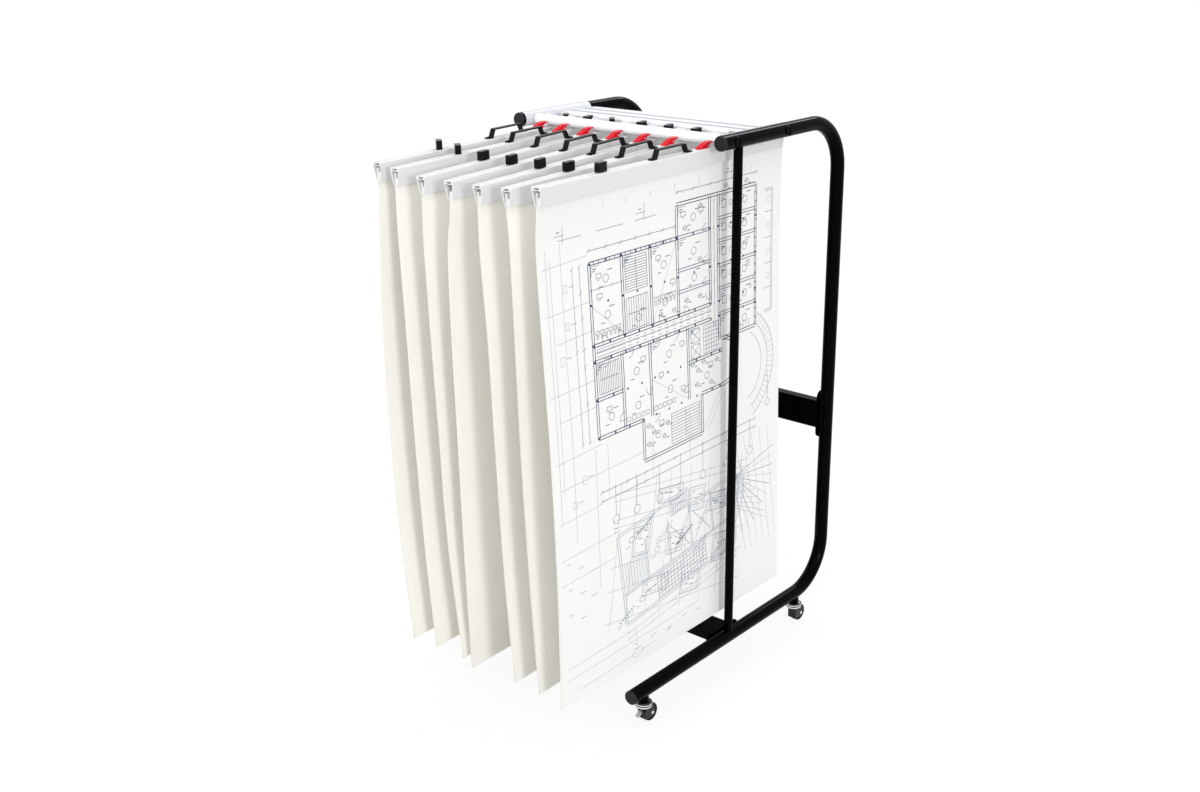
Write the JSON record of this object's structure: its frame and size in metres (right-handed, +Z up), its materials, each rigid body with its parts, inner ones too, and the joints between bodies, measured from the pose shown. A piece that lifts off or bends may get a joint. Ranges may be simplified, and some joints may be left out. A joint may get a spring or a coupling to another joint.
{
  "type": "plan hanging rack",
  "caption": "Mobile hanging rack for large plans: two bent tube side frames on castors, a cross beam and rail, and long clamps that hold packs of sheets.",
  "frame": {"origin": "on the floor, in the middle of the width and of the depth", "axes": "+Z up, +X to the right seen from the front, -Y to the front, where the clamps reach out"},
  "size_m": [0.661, 1.0409, 1.365],
  "materials": {
    "black_lacquer": "gloss black stoved lacquer on steel tube",
    "white_lacquer": "semi-gloss white lacquer",
    "clamp_white": "satin white coated aluminium extrusion",
    "black_plastic": "satin black moulded plastic",
    "red_plastic": "gloss red moulded plastic",
    "zinc": "bright zinc plated pressed steel",
    "castor_grey": "dark grey coated pressed steel",
    "wheel_black": "smooth black rubber tread",
    "paper": "uncoated cream-white drawing paper"
  },
  "bodies": {
    "rack_frame": {"left_side_frame": "black_lacquer", "right_side_frame": "black_lacquer", "front_beam": "white_lacquer", "rear_rail": "white_lacquer", "mid_crossbar": "black_lacquer", "base_crossbar": "black_lacquer", "end_caps": "black_plastic", "frame_bolts": "black_plastic"},
    "front_left_castor_fork": {"front_left_castor_fork": "castor_grey"},
    "front_left_castor_wheel": {"front_left_castor_wheel": "wheel_black"},
    "front_left_castor_brake": {"front_left_castor_brake": "zinc"},
    "rear_left_castor_fork": {"rear_left_castor_fork": "castor_grey"},
    "rear_left_castor_wheel": {"rear_left_castor_wheel": "wheel_black"},
    "front_right_castor_fork": {"front_right_castor_fork": "castor_grey"},
    "front_right_castor_wheel": {"front_right_castor_wheel": "wheel_black"},
    "front_right_castor_brake": {"front_right_castor_brake": "zinc"},
    "rear_right_castor_fork": {"rear_right_castor_fork": "castor_grey"},
    "rear_right_castor_wheel": {"rear_right_castor_wheel": "wheel_black"},
    "clamp_1": {"clamp_1_channel": "clamp_white", "clamp_1_handle": "black_plastic", "clamp_1_plans": "paper"},
    "clamp_1_catch": {"clamp_1_catch": "red_plastic"},
    "clamp_1_front_knob": {"clamp_1_front_knob": "black_plastic"},
    "clamp_1_rear_knob": {"clamp_1_rear_knob": "black_plastic"},
    "clamp_2": {"clamp_2_channel": "clamp_white", "clamp_2_handle": "black_plastic", "clamp_2_plans": "paper"},
    "clamp_2_catch": {"clamp_2_catch": "red_plastic"},
    "clamp_2_front_knob": {"clamp_2_front_knob": "black_plastic"},
    "clamp_2_rear_knob": {"clamp_2_rear_knob": "black_plastic"},
    "clamp_3": {"clamp_3_channel": "clamp_white", "clamp_3_handle": "black_plastic", "clamp_3_plans": "paper"},
    "clamp_3_catch": {"clamp_3_catch": "red_plastic"},
    "clamp_3_front_knob": {"clamp_3_front_knob": "black_plastic"},
    "clamp_3_rear_knob": {"clamp_3_rear_knob": "black_plastic"},
    "clamp_4": {"clamp_4_channel": "clamp_white", "clamp_4_handle": "black_plastic", "clamp_4_plans": "paper"},
    "clamp_4_catch": {"clamp_4_catch": "red_plastic"},
    "clamp_4_front_knob": {"clamp_4_front_knob": "black_plastic"},
    "clamp_4_rear_knob": {"clamp_4_rear_knob": "black_plastic"},
    "clamp_5": {"clamp_5_channel": "clamp_white", "clamp_5_handle": "black_plastic", "clamp_5_plans": "paper"},
    "clamp_5_catch": {"clamp_5_catch": "red_plastic"},
    "clamp_5_front_knob": {"clamp_5_front_knob": "black_plastic"},
    "clamp_5_rear_knob": {"clamp_5_rear_knob": "black_plastic"},
    "clamp_6": {"clamp_6_channel": "clamp_white", "clamp_6_handle": "black_plastic", "clamp_6_plans": "paper"},
    "clamp_6_catch": {"clamp_6_catch": "red_plastic"},
    "clamp_6_front_knob": {"clamp_6_front_knob": "black_plastic"},
    "clamp_6_rear_knob": {"clamp_6_rear_knob": "black_plastic"},
    "clamp_7": {"clamp_7_channel": "clamp_white", "clamp_7_handle": "black_plastic", "clamp_7_plans": "paper"},
    "clamp_7_catch": {"clamp_7_catch": "red_plastic"},
    "clamp_7_front_knob": {"clamp_7_front_knob": "black_plastic"},
    "clamp_7_rear_knob": {"clamp_7_rear_knob": "black_plastic"}
  },
  "joints": [
    {"name": "front_left_castor_swivel", "type": "hinge", "parent": "rack_frame", "child": "front_left_castor_fork", "pos_m": [-0.31, -0.2645, 0.058], "axis": [0, 0, 1], "continuous": true},
    {"name": "front_left_castor_roll", "type": "hinge", "parent": "front_left_castor_fork", "child": "front_left_castor_wheel", "pos_m": [-0.31, -0.2445, 0.0225], "axis": [1, 0, 0], "continuous": true},
    {"name": "front_left_castor_brake_press", "type": "hinge", "parent": "front_left_castor_fork", "child": "front_left_castor_brake", "pos_m": [-0.31, -0.2737, 0.035], "axis": [1, 0, 0], "range_deg": [0, 18], "stiffness_Nm_per_rad": 0.01, "springref_deg": -5.73},
    {"name": "rear_left_castor_swivel", "type": "hinge", "parent": "rack_frame", "child": "rear_left_castor_fork", "pos_m": [-0.31, 0.3785, 0.058], "axis": [0, 0, 1], "continuous": true},
    {"name": "rear_left_castor_roll", "type": "hinge", "parent": "rear_left_castor_fork", "child": "rear_left_castor_wheel", "pos_m": [-0.31, 0.3985, 0.0225], "axis": [1, 0, 0], "continuous": true},
    {"name": "front_right_castor_swivel", "type": "hinge", "parent": "rack_frame", "child": "front_right_castor_fork", "pos_m": [0.31, -0.2645, 0.058], "axis": [0, 0, 1], "continuous": true},
    {"name": "front_right_castor_roll", "type": "hinge", "parent": "front_right_castor_fork", "child": "front_right_castor_wheel", "pos_m": [0.31, -0.2445, 0.0225], "axis": [1, 0, 0], "continuous": true},
    {"name": "front_right_castor_brake_press", "type": "hinge", "parent": "front_right_castor_fork", "child": "front_right_castor_brake", "pos_m": [0.31, -0.2737, 0.035], "axis": [1, 0, 0], "range_deg": [0, 18], "stiffness_Nm_per_rad": 0.01, "springref_deg": -5.73},
    {"name": "rear_right_castor_swivel", "type": "hinge", "parent": "rack_frame", "child": "rear_right_castor_fork", "pos_m": [0.31, 0.3785, 0.058], "axis": [0, 0, 1], "continuous": true},
    {"name": "rear_right_castor_roll", "type": "hinge", "parent": "rear_right_castor_fork", "child": "rear_right_castor_wheel", "pos_m": [0.31, 0.3985, 0.0225], "axis": [1, 0, 0], "continuous": true},
    {"name": "clamp_1_slide", "type": "slide", "parent": "rack_frame", "child": "clamp_1", "axis": [1, 0, 0], "range_m": [-0.014, 0.012]},
    {"name": "clamp_1_catch_lift", "type": "hinge", "parent": "clamp_1", "child": "clamp_1_catch", "pos_m": [-0.24896, 0.02267, 1.33603], "axis": [-0.9995, -0.0314, 0], "range_deg": [0, 25]},
    {"name": "clamp_1_front_knob_turn", "type": "hinge", "parent": "clamp_1", "child": "clamp_1_front_knob", "pos_m": [-0.23791, -0.32903, 1.325], "axis": [0.0005, -0.0157, 0.9999], "range_deg": [-180, 180]},
    {"name": "clamp_1_rear_knob_turn", "type": "hinge", "parent": "clamp_1", "child": "clamp_1_rear_knob", "pos_m": [-0.25198, 0.11869, 1.33204], "axis": [0.0005, -0.0157, 0.9999], "range_deg": [-180, 180]},
    {"name": "clamp_2_slide", "type": "slide", "parent": "rack_frame", "child": "clamp_2", "axis": [1, 0, 0], "range_m": [-0.012, 0.024]},
    {"name": "clamp_2_catch_lift", "type": "hinge", "parent": "clamp_2", "child": "clamp_2_catch", "pos_m": [-0.17774, 0.02276, 1.33572], "axis": [-1, -0.0052, 0], "range_deg": [0, 25]},
    {"name": "clamp_2_front_knob_turn", "type": "hinge", "parent": "clamp_2", "child": "clamp_2_front_knob", "pos_m": [-0.1759, -0.32897, 1.32101], "axis": [0.0001, -0.0262, 0.9997], "range_deg": [-180, 180]},
    {"name": "clamp_2_rear_knob_turn", "type": "hinge", "parent": "clamp_2", "child": "clamp_2_rear_knob", "pos_m": [-0.17825, 0.11887, 1.33273], "axis": [0.0001, -0.0262, 0.9997], "range_deg": [-180, 180]},
    {"name": "clamp_3_slide", "type": "slide", "parent": "rack_frame", "child": "clamp_3", "axis": [1, 0, 0], "range_m": [-0.024, 0.024]},
    {"name": "clamp_3_catch_lift", "type": "hinge", "parent": "clamp_3", "child": "clamp_3_catch", "pos_m": [-0.09864, 0.02293, 1.33525], "axis": [-0.9999, -0.0122, 0], "range_deg": [0, 25]},
    {"name": "clamp_3_front_knob_turn", "type": "hinge", "parent": "clamp_3", "child": "clamp_3_front_knob", "pos_m": [-0.09434, -0.32851, 1.31502], "axis": [0.0005, -0.0419, 0.9991], "range_deg": [-180, 180]},
    {"name": "clamp_3_rear_knob_turn", "type": "hinge", "parent": "clamp_3", "child": "clamp_3_rear_knob", "pos_m": [-0.09981, 0.11907, 1.33378], "axis": [0.0005, -0.0419, 0.9991], "range_deg": [-180, 180]},
    {"name": "clamp_4_slide", "type": "slide", "parent": "rack_frame", "child": "clamp_4", "axis": [1, 0, 0], "range_m": [-0.024, 0.024]},
    {"name": "clamp_4_catch_lift", "type": "hinge", "parent": "clamp_4", "child": "clamp_4_catch", "pos_m": [-0.0061, 0.02292, 1.33525], "axis": [-1, 0, 0], "range_deg": [0, 25]},
    {"name": "clamp_4_front_knob_turn", "type": "hinge", "parent": "clamp_4", "child": "clamp_4_front_knob", "pos_m": [-0.0061, -0.32854, 1.31502], "axis": [0, -0.0419, 0.9991], "range_deg": [-180, 180]},
    {"name": "clamp_4_rear_knob_turn", "type": "hinge", "parent": "clamp_4", "child": "clamp_4_rear_knob", "pos_m": [-0.0061, 0.11907, 1.33378], "axis": [0, -0.0419, 0.9991], "range_deg": [-180, 180]},
    {"name": "clamp_5_slide", "type": "slide", "parent": "rack_frame", "child": "clamp_5", "axis": [1, 0, 0], "range_m": [-0.024, 0.024]},
    {"name": "clamp_5_catch_lift", "type": "hinge", "parent": "clamp_5", "child": "clamp_5_catch", "pos_m": [0.07726, 0.02291, 1.3353], "axis": [-1, -0.0052, 0], "range_deg": [0, 25]},
    {"name": "clamp_5_front_knob_turn", "type": "hinge", "parent": "clamp_5", "child": "clamp_5_front_knob", "pos_m": [0.07909, -0.32859, 1.31568], "axis": [0.0002, -0.0401, 0.9992], "range_deg": [-180, 180]},
    {"name": "clamp_5_rear_knob_turn", "type": "hinge", "parent": "clamp_5", "child": "clamp_5_rear_knob", "pos_m": [0.07675, 0.11905, 1.33366], "axis": [0.0002, -0.0401, 0.9992], "range_deg": [-180, 180]},
    {"name": "clamp_6_slide", "type": "slide", "parent": "rack_frame", "child": "clamp_6", "axis": [1, 0, 0], "range_m": [-0.024, 0.024]},
    {"name": "clamp_6_catch_lift", "type": "hinge", "parent": "clamp_6", "child": "clamp_6_catch", "pos_m": [0.15961, 0.02283, 1.33551], "axis": [-1, -0.007, 0], "range_deg": [0, 25]},
    {"name": "clamp_6_front_knob_turn", "type": "hinge", "parent": "clamp_6", "child": "clamp_6_front_knob", "pos_m": [0.16206, -0.32878, 1.31834], "axis": [0.0002, -0.0332, 0.9995], "range_deg": [-180, 180]},
    {"name": "clamp_6_rear_knob_turn", "type": "hinge", "parent": "clamp_6", "child": "clamp_6_rear_knob", "pos_m": [0.15894, 0.11896, 1.3332], "axis": [0.0002, -0.0332, 0.9995], "range_deg": [-180, 180]},
    {"name": "clamp_7_slide", "type": "slide", "parent": "rack_frame", "child": "clamp_7", "axis": [1, 0, 0], "range_m": [-0.024, 0.009]},
    {"name": "clamp_7_catch_lift", "type": "hinge", "parent": "clamp_7", "child": "clamp_7_catch", "pos_m": [0.25863, 0.02262, 1.33613], "axis": [-0.9998, 0.0192, 0], "range_deg": [0, 25]},
    {"name": "clamp_7_front_knob_turn", "type": "hinge", "parent": "clamp_7", "child": "clamp_7_front_knob", "pos_m": [0.25187, -0.32922, 1.32633], "axis": [-0.0002, -0.0122, 0.9999], "range_deg": [-180, 180]},
    {"name": "clamp_7_rear_knob_turn", "type": "hinge", "parent": "clamp_7", "child": "clamp_7_rear_knob", "pos_m": [0.26047, 0.11867, 1.33181], "axis": [-0.0002, -0.0122, 0.9999], "range_deg": [-180, 180]}
  ]
}
